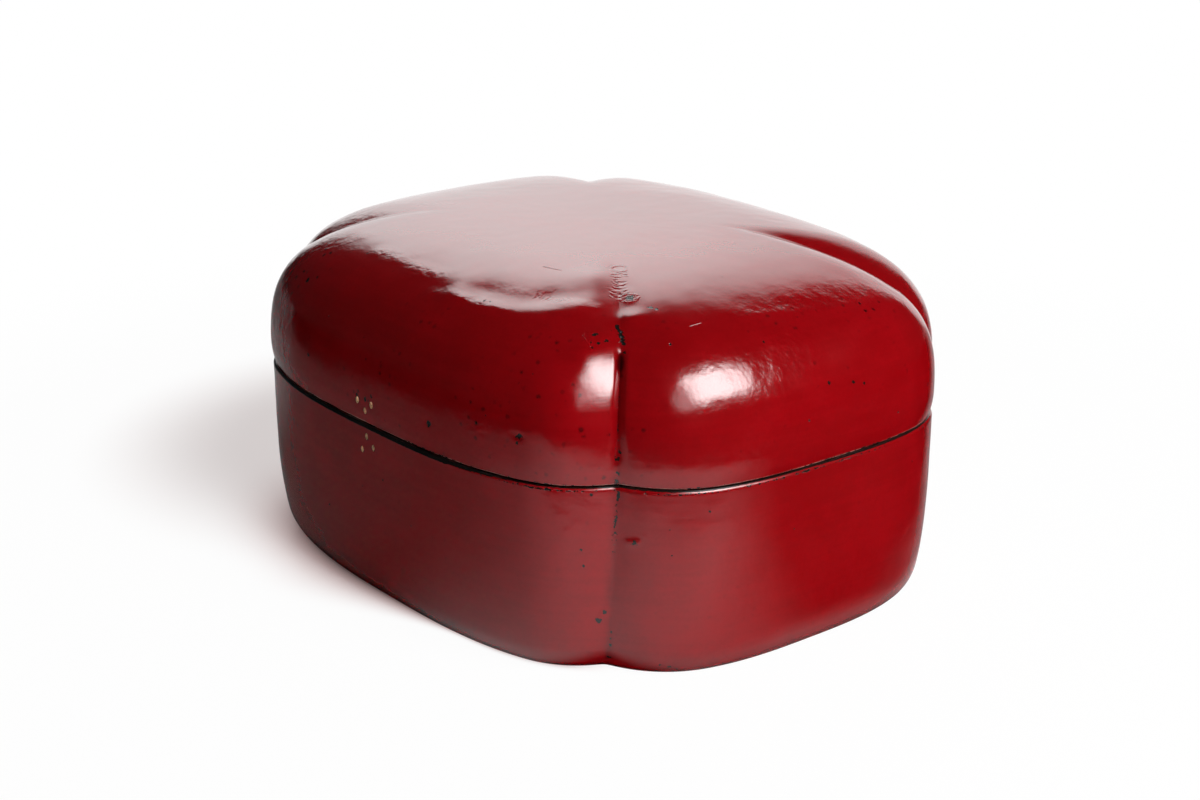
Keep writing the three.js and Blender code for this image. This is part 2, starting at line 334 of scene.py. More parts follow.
def stations(form, count, pins=0.0):
    """Angles round the box, crowded at the creases and, by `pins`, at the middle of the front."""
    found = []
    for side in SIDES:
        fine = np.linspace(*lobe_ends(form, side), 4000)
        weight = 1 + 1.6 * bell(from_crease(form, fine), math.radians(5))
        if side == "front":
            weight += pins * bell(np.cos(fine) * form.half_width, PIN_GROUP, 4)
        share = 0.2 if side in ("right", "left") else 0.3
        found.append(spaced(fine, weight, round(count * share) + 1)[:-1])
    return np.concatenate(found)


def grid_normals(rings):
    around = np.roll(rings, -1, axis=1) - np.roll(rings, 1, axis=1)
    along = np.gradient(rings, axis=0)
    normal = np.cross(along, around)
    return normal / np.maximum(np.linalg.norm(normal, axis=-1, keepdims=True), 1e-12)


def waves(points, size, seed, octaves=2):
    """Smooth noise over the points, from about -1 to 1."""
    flat = points.reshape(-1, 3) / size + seed * 17.3
    found = [noise.fractal(Vector(p), 1.0, 2.0, octaves) for p in flat]
    return np.array(found).reshape(points.shape[:-1])


def skin(name, rings, attributes=None, folds=(), fold_end=0):
    """A closed mesh over rings from one pole to the other, facing out, sharp along its folds to a ring."""
    count = rings.shape[1]
    poles = [rings[0].mean(axis=0), rings[-1].mean(axis=0)]
    points = np.concatenate([rings.reshape(-1, 3), poles])
    first_pole = len(points) - 2
    ring, spot = np.meshgrid(np.arange(len(rings) - 1), np.arange(count), indexing="ij")
    near, after = ring * count + spot, ring * count + (spot + 1) % count
    quads = np.stack([near, near + count, after + count, after], axis=-1).reshape(-1, 4)
    around = np.arange(count)
    following = (around + 1) % count
    last = (len(rings) - 1) * count
    top = np.stack([np.full(count, first_pole), around, following], axis=-1)
    bottom = np.stack([np.full(count, first_pole + 1), last + following, last + around], axis=-1)
    mesh = bpy.data.meshes.new(name)
    mesh.from_pydata(points.tolist(), [], quads.tolist() + top.tolist() + bottom.tolist())
    mesh.polygons.foreach_set("use_smooth", np.ones(len(mesh.polygons), bool))
    for label, values in (attributes or {}).items():
        ends = [values[0].mean(), values[-1].mean()]
        layer = mesh.attributes.new(label, "FLOAT", "POINT")
        layer.data.foreach_set("value", np.concatenate([values.ravel(), ends]).astype(np.float32))
    if len(folds):
        edges = np.empty(len(mesh.edges) * 2, np.int32)
        mesh.edges.foreach_get("vertices", edges)
        low, high = np.sort(edges.reshape(-1, 2)).T
        sharp = (high - low == count) & np.isin(low % count, folds) & (high < fold_end * count)
        mesh.attributes.new("sharp_edge", "BOOLEAN", "EDGE").data.foreach_set("value", sharp)
    mesh.update()
    return add_object(name, mesh)


def add_object(name, data):
    thing = bpy.data.objects.new(name, data)
    bpy.context.scene.collection.objects.link(thing)
    return thing


def dress(piece, body, material, nodes=()):
    """Gives a piece its material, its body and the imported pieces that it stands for."""
    piece.data.materials.append(material)
    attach(piece, body)
    if nodes:
        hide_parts(*nodes)


class Sock:
    """A shader socket that Python's arithmetic works on."""

    def __init__(self, board, socket):
        self.board = board
        self.socket = socket

    def math(self, operation, first, second):
        return self.board.node("ShaderNodeMath", {"operation": operation}, {0: first, 1: second})

    def __add__(self, other):
        return self.math("ADD", self, other)

    def __sub__(self, other):
        return self.math("SUBTRACT", self, other)

    def __rsub__(self, other):
        return self.math("SUBTRACT", other, self)

    def __mul__(self, other):
        return self.math("MULTIPLY", self, other)

    def __truediv__(self, other):
        return self.math("DIVIDE", self, other)

    def __rtruediv__(self, other):
        return self.math("DIVIDE", other, self)

    def at_least(self, other):
        return self.math("MAXIMUM", self, other)

    def raised(self, power):
        return self.math("POWER", self, power)

    def sine(self):
        return self.math("SINE", self, 0.0)

    def __gt__(self, other):
        return self.math("GREATER_THAN", self, other)

    __radd__ = __add__
    __rmul__ = __mul__


class Board:
    """The node tree of a material, a light or the world."""

    def __init__(self, owner):
        owner.use_nodes = True
        self.tree = owner.node_tree
        self.tree.nodes.clear()

    def node(self, kind, settings=None, sockets=None, out=0):
        made = self.tree.nodes.new(kind)
        for name, value in (settings or {}).items():
            setattr(made, name, value)
        for name, value in (sockets or {}).items():
            if isinstance(value, Sock):
                self.tree.links.new(value.socket, made.inputs[name])
            else:
                made.inputs[name].default_value = value
        return Sock(self, made.outputs[out]) if made.outputs else None

    def vector(self, operation, sockets, out=0):
        return self.node("ShaderNodeVectorMath", {"operation": operation}, sockets, out)

    def ray(self, kind):
        """1 for rays of one kind, 0 for all others."""
        return self.node("ShaderNodeLightPath", out=kind)

    def place(self, stretch=(1, 1, 1)):
        """Object coordinates, squeezed along each axis."""
        spot = self.node("ShaderNodeTexCoord", out="Object")
        return self.vector("MULTIPLY", {0: spot, 1: stretch})

    def along(self, place, axis):
        """How far a vector goes along an axis."""
        return self.vector("DOT_PRODUCT", {0: place, 1: axis}, "Value")

    def away(self, place, start, end=None):
        """How far a place is from a point, or from the line between two, that are given in millimetres."""
        start = Vector(start) * MM
        nearest = start
        if end:
            run = Vector(end) * MM - start
            share = (self.along(place, run) - start.dot(run)) / run.length_squared
            share = self.node("ShaderNodeClamp", None, {"Value": share})
            step = self.vector("SCALE", {0: run, "Scale": share})
            nearest = self.vector("ADD", {0: step, 1: start})
        return self.vector("DISTANCE", {0: place, 1: nearest}, "Value")

    def cloud(self, place, scale, detail=2.0, rough=0.5):
        sockets = {"Vector": place, "Scale": scale, "Detail": detail, "Roughness": rough}
        return self.node("ShaderNodeTexNoise", None, sockets)

    def dots(self, place, scale):
        """Scattered dots: how far the nearest one is, and its own chance from 0 to 1."""
        sockets = {"Vector": place, "Scale": scale}
        away = self.node("ShaderNodeTexVoronoi", None, sockets, out="Distance")
        colour = self.node("ShaderNodeTexVoronoi", None, sockets, out="Color")
        return away, self.along(colour, (1, 0, 0))

    def step(self, value, low, high):
        sockets = {"Value": value, "From Min": low, "From Max": high}
        return self.node("ShaderNodeMapRange", {"interpolation_type": "SMOOTHSTEP"}, sockets)

    def mix(self, factor, first, second):
        return self.node("ShaderNodeMix", {"data_type": "RGBA"}, {0: factor, 6: first, 7: second}, out=2)

    def layer(self, name):
        return self.node("ShaderNodeAttribute", {"attribute_name": name}, out="Fac")

    def emit(self, colour, level=1.0):
        return self.node("ShaderNodeEmission", None, {"Color": colour, "Strength": level})

    def blend(self, share, first, second):
        """A surface with another one over a share of it."""
        return self.node("ShaderNodeMixShader", None, {0: share, 1: first, 2: second})

    def bump(self, height, distance):
        return self.node("ShaderNodeBump", None, {"Height": height, "Distance": distance, "Strength": 1.0})

    def finish(self, sockets, dirt_and_shade=0.0, dirt_and_shade_colour=(0, 0, 0, 1)):
        """The surface, with a matte layer that has no gloss over a share of it: grime, darkened there by
        painted shade.
        """
        surface = self.node("ShaderNodeBsdfPrincipled", None, sockets)
        if isinstance(dirt_and_shade, Sock):
            matte = self.node("ShaderNodeBsdfPrincipled", None, {
                "Base Color": dirt_and_shade_colour, "Roughness": 1.0, "Specular IOR Level": 0.0})
            surface = self.blend(dirt_and_shade, surface, matte)
        self.node("ShaderNodeOutputMaterial", None, {"Surface": surface})


def opaque(colour):
    return (*colour, 1.0)


def red_lacquer(name, finish, wear):
    """Glossy red over black: uneven red, dark flecks, pinholes, sooting and painted shade in the creases and
    along the foot, chips to the black, a black seam band of painted shade and a painted highlight on the
    lid's lower edge.
    """
    material = bpy.data.materials.new(name)
    board = Board(material)
    here = board.place()
    broad = board.cloud(here, 16, 3)
    patchy = board.cloud(here, 75, 4, 0.6)
    brushed = board.cloud(board.place((28, 28, 380)), 1, 3)
    orange = board.cloud(here, 150, 2)
    ripple = board.cloud(here, 310, 2)
    fine = board.cloud(here, 700, 3, 0.6)
    # this layer holds chips and, on the body, a black band of painted shade under the lid
    chip = board.step(board.layer("bare") + (fine - 0.5), 0.5, 0.55)
    pit = 0.0
    for radius, *ends in wear.pits:
        rim = (fine * 3.2 - 0.6) * radius * MM
        pit = ((rim - board.away(here, *ends)) / MM).at_least(pit)
    scratch = 0.0
    for start, end in wear.scratches:
        scratch = board.step(board.away(here, start, end), 0.5 * MM, 0.0).at_least(scratch)
    from_dot, dot_chance = board.dots(here, 62)
    facing = board.along(board.node("ShaderNodeNewGeometry", out="Normal"), (0, 0, 1))
    level = board.step(facing, 0.92, 0.985)
    pinhole = board.step(from_dot + (fine - 0.5) * 0.06, 0.036, 0.026)
    pinhole = pinhole * board.step(dot_chance, 0.62, 0.66) * (1 - level)
    from_fleck, fleck_chance = board.dots(here, 250)
    spread = board.step(from_fleck + (fine - 0.5) * 0.5, 0.34, 0.1) * board.step(fleck_chance, 0.5, 0.9)
    flecks = spread * board.step(broad * 0.5 + patchy * 0.5, 0.46, 0.6) * wear.fleck * (1 - level)
    tone = broad * 0.35 + patchy * 0.25 + brushed * 0.2 + fine * 0.2
    red = board.mix(board.step(tone, 0.4, 0.6), opaque(finish.deep_red), opaque(finish.red))
    flecked = board.mix(flecks, red, opaque(finish.dried_and_shade_red))
    # soot and painted shade: this layer darkens the creases and the bottom edge of the foot towards dark red
    soot = board.step(board.layer("soot") + (patchy - 0.5) * 0.8, 0.1, 1.1)
    sooted_and_shaded = board.mix(soot, flecked, opaque(finish.dried_and_shade_red))
    holes = board.step(chip + pinhole + board.step(pit, 0.0, 0.25), 0.1, 0.9)
    # painted highlight: a pale line along the lid's lower edge
    rubbed = board.step(board.layer("rub") + (fine - 0.5) * 0.5, 0.35, 0.75)
    edged = board.mix(rubbed, sooted_and_shaded, opaque(finish.rubbed))
    colour = board.mix(holes, edged, opaque(finish.black))
    rough = wear.gloss + (brushed - 0.5) * 0.08 + (patchy - 0.5) * 0.06
    uneven = wear.peel * (0.35 + 1.3 * board.step(broad, 0.4, 0.65))
    uneven = uneven * (0.25 + 0.75 * board.step(board.away(here, wear.calm), 20 * MM, 50 * MM))
    uneven = uneven * (1 + 1.7 * board.step(board.away(here, wear.rippled), 48 * MM, 15 * MM))
    height = (brushed * 0.2 + ripple * 0.5 * uneven + fine * 0.05) * (1 - 0.9 * level)
    height = height + orange * uneven * (1 - 0.8 * level) + scratch * 0.5
    height = height - (chip + pinhole) * 0.4 - pit * (0.15 + 2.5 * level)
    for reach, *ends in wear.crumbs:
        crumbly = board.step(board.away(here, *ends) + (patchy - 0.5) * 8 * MM, reach * MM, 0.0)
        height = height + crumbly * (orange + ripple * 0.8)
    for middle, radius in wear.rings:
        beside = (board.away(here, middle) + (orange - 0.5) * 5 * MM) / MM - radius
        height = height + board.step(beside * beside, 0.9, 0.0) * board.step(ripple, 0.3, 0.6) * 0.6
    for wrinkle in wear.wrinkles:
        height = height + wrinkled(board, here, orange, ripple, wrinkle)
    # the matte share follows the creases and the foot: grime that takes the gloss away, with painted shade in
    # its colour
    board.finish({
        "Base Color": colour,
        "Roughness": rough,
        "Normal": board.bump(height, 0.25 * MM),
    }, board.step(board.layer("soot") + (patchy - 0.5) * 0.6, 0.4, 0.7), edged)
    return material


class Wrinkle(NamedTuple):
    """Ridges that dried across a run of pooled lacquer: where it runs, its half width, spacing, height."""

    start: tuple
    end: tuple
    half: float
    spacing: float
    height: float


def wrinkled(board, here, orange, ripple, wrinkle):
    """Height of a run of wrinkles: broken waves along the run that die away to its sides and ends."""
    start, end = Vector(wrinkle.start) * MM, Vector(wrinkle.end) * MM
    ahead = (end - start).normalized()
    aside = ahead.cross((0, 0, 1)).normalized()
    along = board.along(here, ahead) - start.dot(ahead)
    across = board.along(here, aside) - start.dot(aside) + (orange - 0.5) * 8 * MM
    reach = wrinkle.half * MM
    beside = board.step(across * across, reach * reach, 0.0) * board.step(ripple, 0.36, 0.56)
    length = (end - start).length
    ends = board.step(along, 0.0, 2 * MM) * board.step(along, length, length - 3 * MM)
    strayed = along + (orange - 0.5) * 9 * MM + across * across / reach * 0.4
    turns = strayed * (2 * math.pi / (wrinkle.spacing * MM))
    return turns.sine() * beside * ends * wrinkle.height


class Wear(NamedTuple):
    """How one coat has aged: gloss, unevenness and its extremes, flecks, and marks in millimetres."""

    gloss: float
    peel: float
    calm: tuple
    rippled: tuple
    fleck: float
    pits: tuple
    scratches: tuple = ()
    crumbs: tuple = ()
    rings: tuple = ()
    wrinkles: tuple = ()


LID_WEAR = Wear(0.13, 0.8, (110, -95, 125), (150, -42, 128), 1.0, pits=(
    (1.9, (92.6, -56.4, 153.1)), (1.2, (104.8, -55.2, 151.4)), (0.9, (107.2, -54, 151.2)),
    (0.9, (47.7, -98.5, 149.6)), (0.5, (50.5, -97.8, 149.5)),
    (0.9, (103.8, -72.2, 146.4), (105.8, -73, 145)), (1.2, (107, -73, 144.3), (108.8, -73.7, 143)),
    (1.0, (109.6, -74.3, 142.5), (112, -75.6, 141.2)), (0.8, (115, -77.4, 139)), (0.7, (115.6, -82.1, 136.3)),
    (1.1, (103.6, -83.4, 145.4)), (0.6, (104.7, -75.8, 145.9)), (0.7, (106.1, -87.4, 143.5)),
    (0.8, (107.9, -85.3, 143.1)), (0.9, (108.7, -81.7, 143.4)), (0.6, (108.3, -88.7, 141.7)),
    (0.9, (156.4, -1.5, 120.7)), (0.8, (157.1, 11.9, 118.4)), (0.7, (157.6, 18, 116.8)),
    (0.7, (141.6, -25.2, 139.6)), (0.4, (148.5, -50.7, 129.2)),
    (1.4, (-68.3, -115.2, 135)), (1.4, (47.5, -128.1, 100.6)), (1.5, (97.2, -117.9, 106.8)),
    (0.8, (96.4, -118.4, 104.1)), (1.1, (0.8, -129.9, 99.3)), (1.0, (5.6, -129.8, 102)),
    (1.0, (-5.8, -129.8, 99.4)), (1.1, (126.5, -90.3, 99.6)), (0.8, (127, -89.7, 102.1)),
), scratches=(
    ((123.9, -49.9, 146.8), (124.4, -44.8, 147.2)), ((43.7, -64.1, 157.1), (53.2, -61.6, 156.9)),
    ((100, -86, 146), (105, -91, 142)), ((101, -88, 145), (107, -89, 142)),
    ((110, -8, 152.5), (118, 2, 150.5)), ((90, -20, 156), (99, -10, 155)),
), crumbs=(
    (7.0, (18, -105.5, 146.5), (60, -99, 148.5)), (6.0, (74, -82, 152), (90, -72, 151)),
    (8.0, (-40, -95, 151), (10, -96, 151)), (4.5, (128, -20, 149), (140, 30, 146)),
), rings=(
    ((67.5, -41.3, 157.4), 3.6), ((92.6, -56.4, 153.1), 3.4),
), wrinkles=(
    Wrinkle((70, -43, 157), (90, -61, 153), 5.0, 3.2, 0.5),
    Wrinkle((-84, -45, 156), (-62, -28, 158), 3.0, 4.5, 0.25),
    Wrinkle((62, -84, 152), (80, -76, 152.5), 3.0, 2.8, 0.25),
))

BODY_WEAR = Wear(0.15, 0.45, (0, 0, 0), (0, 0, 0), 0.15, pits=(
    (0.6, (152.5, -63.1, 77.6)), (0.6, (118.1, -102.6, 59.9)), (0.6, (118.7, -101.6, 52.7)),
    (0.7, (120.9, -99.6, 84.3)), (0.4, (143.9, -77.0, 70.5)), (0.5, (144.5, -76.2, 59.0)),
    (0.7, (122.8, -90.5, 21.0)), (0.6, (122.2, -90.3, 17.6)), (0.8, (121.6, -90.1, 14.4)),
    (0.8, (119.5, -88.9, 7.7)), (0.8, (137.4, -75.9, 6.9)), (0.9, (139.3, -72.6, 5.6)),
    (0.6, (140.3, -69.0, 3.9)), (1.2, (133.1, -86.6, 63.5)), (1.4, (120.2, -95.2, 26.7)),
    (0.9, (122, -93.4, 30.5)), (0.8, (126.4, -90.2, 81.2), (126.7, -89.9, 84.7)),
))


def black_lacquer(name, finish):
    """Satin black lacquer with fine brush marks and rubbed, dusty patches."""
    material = bpy.data.materials.new(name)
    board = Board(material)
    here = board.place()
    dust = board.step(board.cloud(here, 30, 5), 0.45, 0.8)
    brushed = board.cloud(board.place((40, 40, 420)), 1, 3)
    rubbed = board.cloud(here, 420, 3)
    colour = board.mix(dust * 0.5, opaque(finish.black), (0.03, 0.022, 0.018, 1))
    board.finish({
        "Base Color": colour,
        "Roughness": 0.26 + dust * 0.2 + (brushed - 0.5) * 0.1,
        "Normal": board.bump(brushed * 0.6 + rubbed * 0.4, 0.06 * MM),
    })
    return material


def cut_brass(name, finish):
    """Brass cut and filed flat, dull in the scratches."""
    material = bpy.data.materials.new(name)
    board = Board(material)
    filed = board.cloud(board.place((4000, 400, 900)), 1, 2)
    stain = board.step(board.cloud(board.place(), 1100, 3), 0.42, 0.62)
    colour = board.mix(stain * 0.55, opaque(finish.brass), (0.12, 0.07, 0.03, 1))
    board.finish({
        "Base Color": colour,
        "Metallic": 0.3,
        "Roughness": 0.4 + stain * 0.25 + (filed - 0.5) * 0.2,
        "Normal": board.bump(filed, 0.04 * MM),
    })
    return material


FOOT_ROUND = 14 * MM


def body_inset(z, form):
    """Inset of the body's outer face: the walls lean in towards the rounded foot."""
    overhang, taper, power, tuck = 0.4 * MM, 6.5 * MM, 3.8, 7 * MM
    lean = taper * (1 - np.minimum(z / form.seam, 1)) ** power
    below = np.maximum(0, 1 - z / FOOT_ROUND)
    return overhang + lean + tuck * (1 - np.sqrt(1 - below**2))


def quarter(count):
    return np.linspace(0, np.pi / 2, count)


HALF_WALL = 9 * MM
HALF_CREASE = 6.6 * MM
LINING_GAP = 0.4 * MM
LINING_CREASE = HALF_CREASE - 0.2 * MM
BODY_WALL_EXTRA = 0.7 * MM
BACKING_HEIGHTS = np.array([60, 40, 20]) * MM
BACKING_SHARES = np.array([1, 0.97, 0.9, 0.75, 0.5, 0.2])
FLOOR_SHARES = np.array([1.0, 0.6, 0.2])


def body_coat_profile(form):
    """The outside of the body from the underside to the rim, and back through the wood's middle."""
    depth, rim = form.crease_depth, 1.6 * MM
    inner = form.wall + BODY_WALL_EXTRA
    low = FOOT_ROUND * (1 - np.cos(quarter(15)))
    fine = np.linspace(FOOT_ROUND, form.seam - rim, 500)
    crowded = 1 + 0.8 * (np.linspace(0, 1, 500) > 0.75)
    side = np.append(low, spaced(fine, crowded, 74)[1:])
    shoulder = body_inset(form.seam - rim, form)
    edge = quarter(8)[1:]
    return join(
        stretch(0.0, body_inset(0.0, form), depth, np.array([0.2, 0.4, 0.6, 0.8, 0.95])),
        stretch(side, body_inset(side, form), depth),
        stretch(form.seam - rim * (1 - np.sin(edge)), shoulder + rim * (1 - np.cos(edge)), depth),
        stretch(form.seam, np.array([5 * MM, 9 * MM, inner]), np.array([0.9, 0.75, 0.6]) * depth),
        stretch(form.seam - 1.5 * MM, np.array([inner, HALF_WALL]), np.array([0.6 * depth, HALF_CREASE])),
        stretch(BACKING_HEIGHTS, HALF_WALL, HALF_CREASE),
        stretch(9 * MM, 14 * MM, HALF_CREASE, FLOOR_SHARES),
    )


PILLOW_SIDE = 3.5
PILLOW_TOP = 3.4


def crown(form, share, foot, rise, inset, crease):
    """Points of a pillow that stands on a height over the seam."""
    left = 1 - share**PILLOW_TOP
    steepness = np.maximum(left, 1e-9) ** (1 / PILLOW_SIDE - 1)
    slope = rise / PILLOW_SIDE * steepness * PILLOW_TOP * share ** (PILLOW_TOP - 1)
    tilt = np.arctan2(form.half_width - inset, slope)
    return stretch(form.seam + foot + rise * left ** (1 / PILLOW_SIDE), inset, crease, share, tilt)


def pillow_share(height, rise):
    """How far out the pillow is at a height, as a share of its widest."""
    return (1 - (height / rise) ** PILLOW_SIDE) ** (1 / PILLOW_TOP)


LID_JOINT = 28 * MM
CROWN_LAP = 24.3 * MM
CROWN_RINGS = 74
WALL_RINGS = 34
EDGE_RINGS = 6
CEILING_RINGS = 44


def lid_coat_profile(form):
    """The outside of the lid from the middle of the crown to the seam, and back through the wood."""
    depth, rise = form.crease_depth, form.lid_rise
    fine = np.sin(np.linspace(0.03, np.arcsin(pillow_share(LID_JOINT, rise)), 4000))
    height = crown(form, fine, 0, rise, 0, 0).z
    travel = np.concatenate([[0], np.cumsum(np.hypot(np.diff(fine) * form.half_length, np.diff(height)))])
    even = spaced(travel, 1 + 0.9 * smooth_step(fine, 0.35, 0.5), CROWN_RINGS)
    share = np.interp(even, travel, fine)
    edge, tuck, swell, gap = 0.8 * MM, 1.6 * MM, 11 * MM, 0.5 * MM
    height = np.linspace(LID_JOINT, gap + edge, WALL_RINGS + 1)[1:]
    scale = pillow_share(height, rise)
    inset = tuck * np.maximum(0, 1 - height / swell) ** 2
    turn = quarter(EDGE_RINGS + 1)[1:]
    return join(
        crown(form, share, 0, rise, 0, depth),
        crown(form, scale, 0, rise, inset, depth),
        stretch(form.seam + gap + edge * (1 - np.sin(turn)), inset[-1] + edge * (1 - np.cos(turn)), depth),
        stretch(form.seam + gap, np.array([6 * MM, form.wall]), np.array([0.8, 0.6]) * depth),
        stretch(form.seam + 2 * MM, np.array([form.wall, HALF_WALL]), np.array([0.6 * depth, HALF_CREASE])),
        stretch(form.seam + np.array([9, 16]) * MM, HALF_WALL, HALF_CREASE),
        crown(form, BACKING_SHARES, CROWN_LAP, 38 * MM, HALF_WALL, HALF_CREASE),
    )


def body_lining_profile(form):
    """The black inside of the body: floor, rounded corner and walls up to the rim's underside."""
    inner, round_in = form.wall + BODY_WALL_EXTRA, 2.5 * MM
    floor, top, behind = BASE_TOP, form.seam - 1.8 * MM, HALF_WALL + LINING_GAP
    turn = quarter(6)
    return join(
        stretch(floor, inner + round_in, form.inner_crease, np.linspace(0.04, 0.98, 26)),
        stretch(
            floor + round_in * (1 - np.cos(turn)), inner + round_in * (1 - np.sin(turn)), form.inner_crease),
        stretch(np.linspace(floor + round_in, top, 30)[1:], inner, form.inner_crease),
        stretch(top, behind, LINING_CREASE),
        stretch(BACKING_HEIGHTS, behind, LINING_CREASE),
        stretch(9.5 * MM, 14.5 * MM, LINING_CREASE, FLOOR_SHARES),
    )


def lid_lining_profile(form):
    """The black hollow of the lid, from its lower edge up to the middle of the ceiling."""
    behind, ceiling = HALF_WALL + LINING_GAP, form.lid_rise - form.ceiling
    share = np.sin(np.linspace(np.pi / 2, 0.04, CEILING_RINGS))
    return join(
        crown(form, BACKING_SHARES[::-1], CROWN_LAP, 37.4 * MM, behind, LINING_CREASE),
        stretch(form.seam + np.array([16, 9, 2.4]) * MM, behind, LINING_CREASE),
        stretch(form.seam + 2.4 * MM, form.wall, form.inner_crease),
        stretch(form.seam + np.linspace(3.2 * MM, CROWN_LAP, 16)[:-1], form.wall, form.inner_crease),
        crown(form, share, CROWN_LAP, ceiling - CROWN_LAP, form.wall, form.inner_crease),
    )


def lip_section(form):
    """Closed section of a lip strip, with its edges eased."""
    ease, outer = 1.2 * MM, form.wall + form.lip_gap
    inner = outer + form.lip
    turn = quarter(5)
    corner = ease * (1 - np.cos(turn)), ease * (1 - np.sin(turn))
    inset = np.concatenate([
        [outer, outer, outer], outer + corner[0], inner - corner[1],
        [inner, inner, inner], inner - corner[0], [outer]])
    z = np.concatenate([
        LIP_FOOT + (LIP_TOP - ease - LIP_FOOT) * np.array([0, 0.35, 0.7]), LIP_TOP - corner[1],
        LIP_TOP - corner[0], LIP_FOOT + (LIP_TOP - LIP_FOOT) * np.array([0.8, 0.5, 0.2]),
        LIP_FOOT + corner[1], [LIP_FOOT]])
    return stretch(z, inset, form.inner_crease)


class Mark(NamedTuple):
    """A blemish in millimetres: the path it takes, its width and how deep it is; a raise is below 0."""

    path: tuple
    width: float
    depth: float


LID_MARKS = [
    Mark(((104.3, -66.3, 149.2),), 6, -1.5),
    Mark(((68, -56, 156.5),), 11, -1.0),
    Mark(((66.2, -43, 157.4),), 2.2, 0.45),
    Mark(((108, -105, 127.5), (111.5, -109, 113.5)), 14, -1.8),
    Mark(((107, -83, 143), (106, -90, 140.5)), 8, -1.4),
    Mark(((88, -53, 153), (94, -57, 152)), 2.6, -0.3),
    Mark(((40, -94, 151.4), (52, -92, 151.5), (63, -88.5, 151.7), (70, -84.5, 151.8)), 9.0, 0.85),
    Mark(((70, -78, 153.5), (76, -73, 153.5)), 7.0, 0.5),
    Mark(((30, -102.5, 148), (52, -100.5, 148.5), (66, -96, 149), (84, -81, 151)), 6.5, -0.8),
    Mark(((36, -102.5, 148),), 3.0, -0.3),
    Mark(((43, -100, 149),), 2.4, 0.35),
    Mark(((-68.3, -115.2, 135),), 1.8, 0.35),
    Mark(((47.5, -128.1, 100.6),), 1.8, 0.4),
    Mark(((97.2, -117.9, 106.8),), 1.8, 0.4),
]

BODY_MARKS = [
    Mark(((130, -88, 63), (134, -85.5, 63.8)), 1.4, 0.4),
    Mark(((136, -84, 66.8),), 0.9, 0.2),
    Mark(((120.8, -94.3, 27), (121.9, -93, 31)), 1.3, 0.35),
    Mark(((145, -75.5, 55.5), (149, -69.5, 54.7)), 0.6, 0.12),
]


def press(points, marks):
    """How deep the marks lie under each point."""
    depth = np.zeros(points.shape[:-1])
    for mark in marks:
        path = np.array(mark.path) * MM
        away = np.linalg.norm(points - path[0], axis=-1)
        for start, end in zip(path, path[1:]):
            run = end - start
            share = np.clip((points - start) @ run / (run @ run), 0, 1)
            away = np.minimum(away, np.linalg.norm(points - start - share[..., None] * run, axis=-1))
        depth += mark.depth * MM * bell(away, mark.width * MM)
    return depth


def pin_places(prefix):
    """Middles of the cut ends of the pins whose names start with the prefix."""
    found = {}
    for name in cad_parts:
        if name.startswith(prefix):
            low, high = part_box(name)
            found[name] = Vector(((low.x + high.x) / 2, low.y, (low.z + high.z) / 2))
    return found


def lay_by_hand(rings, shown, work, seed, marks, pins):
    """Moves the shown rings by the waves that a hand leaves and by the marks of wear, and presses in a ring
    round each pin, giving back how dark that ring turns.
    """
    normals = grid_normals(rings)
    calm = np.ones(rings.shape[:-1])
    ring_round_pin = np.zeros(rings.shape[:-1])
    for place in pins.values():
        away = np.linalg.norm(rings - np.array(place), axis=-1)
        calm *= 1 - bell(away, PIN_GROUP)
        # a ring round each pin, pressed in and turned dark
        ring_round_pin = np.maximum(ring_round_pin, bell(away, 2.4 * MM, 4))
    height = work.swell * waves(rings, work.swell_size, seed)
    height += work.lump * waves(rings, work.lump_size, seed + 1)
    moved = (height * calm - press(rings, marks) - 0.12 * MM * ring_round_pin) * shown[:, None]
    return rings + normals * moved[..., None], 0.55 * ring_round_pin


LINING_STATIONS = 360


def brushed_on(rings, seed):
    """The low waves of a lining that was brushed on."""
    return rings + grid_normals(rings) * (0.12 * MM * waves(rings, 30 * MM, seed))[..., None]


def edge_wear(rings, edge, width, seed):
    """Chips along an edge at a height, in runs."""
    along = waves(rings, 40 * MM, seed, octaves=1)
    return bell(rings[..., 2] - edge, width) * (0.48 + 0.24 * along)


def crease_wear(form, rings, angles, seed):
    """Black that shows in runs along the creases."""
    along = waves(rings, 22 * MM, seed, octaves=2)
    return near_crease(form, angles, 0.8) * (0.34 + 0.3 * along)


